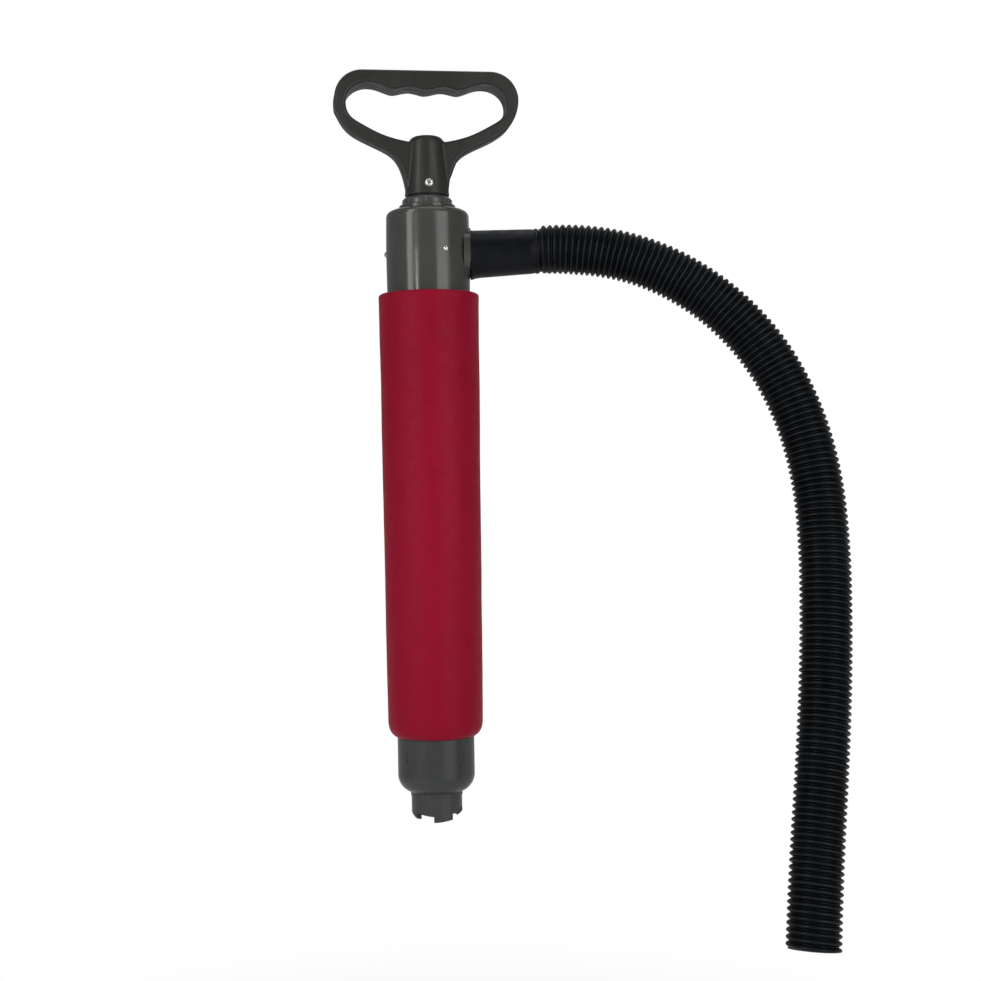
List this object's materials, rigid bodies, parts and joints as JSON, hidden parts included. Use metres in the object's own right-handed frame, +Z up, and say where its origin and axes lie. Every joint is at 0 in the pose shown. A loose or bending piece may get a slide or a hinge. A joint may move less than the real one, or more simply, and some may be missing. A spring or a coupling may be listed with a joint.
{
  "type": "bilge pump",
  "caption": "Hand bilge pump with a D handle, foam float round the barrel, toothed intake foot and a corrugated side discharge hose.",
  "frame": {"origin": "centre of the foam float, on the barrel's axis", "axes": "+Z up the barrel towards the handle, +X along the discharge outlet, -Y the side seen in the usual view"},
  "size_m": [0.3441, 0.1401, 0.5873],
  "materials": {
    "handle_plastic": "satin dark grey moulded plastic",
    "head_plastic": "satin-gloss dark grey moulded plastic",
    "foam": "crimson closed-cell foam with a smooth skin",
    "hose_vinyl": "black flexible vinyl",
    "pipe": "pale grey rigid pipe",
    "inner_plastic": "natural white moulded plastic",
    "seal_rubber": "black nitrile rubber",
    "stainless": "bright stainless steel",
    "rod_metal": "clear anodised aluminium tube"
  },
  "bodies": {
    "pump_body": {"barrel": "pipe", "float_sleeve": "foam", "head": "head_plastic", "head_screws": "stainless", "head_o_ring": "seal_rubber", "rod_bush": "inner_plastic", "rod_wiper": "seal_rubber", "gland_nut": "head_plastic", "foot_housing": "head_plastic", "foot_o_ring": "seal_rubber", "valve_seat": "inner_plastic", "valve_stem": "inner_plastic", "hose_cuff": "hose_vinyl", "hose": "hose_vinyl"},
    "seal_ring": {"piston_seal": "seal_rubber"},
    "plunger": {"handle": "handle_plastic", "handle_bumper": "seal_rubber", "handle_rivet": "stainless", "rod": "rod_metal", "rod_plug": "inner_plastic", "stop_sleeve": "inner_plastic", "valve_stop_washer": "stainless", "piston": "inner_plastic", "piston_bolt": "stainless"},
    "foot_valve": {"foot_valve_disc": "seal_rubber"},
    "piston_valve": {"piston_valve_disc": "seal_rubber"}
  },
  "joints": [
    {"name": "plunger_pull", "type": "slide", "parent": "pump_body", "child": "seal_ring", "axis": [0, 0, 1], "range_m": [0, 0.28]},
    {"name": "plunger_turn", "type": "hinge", "parent": "seal_ring", "child": "plunger", "pos_m": [0, 0, 0], "axis": [0, 0, 1], "continuous": true},
    {"name": "foot_valve_lift", "type": "slide", "parent": "pump_body", "child": "foot_valve", "axis": [0, 0, 1], "range_m": [0, 0.004]},
    {"name": "piston_valve_lift", "type": "slide", "parent": "plunger", "child": "piston_valve", "axis": [0, 0, 1], "range_m": [0, 0.004]}
  ]
}
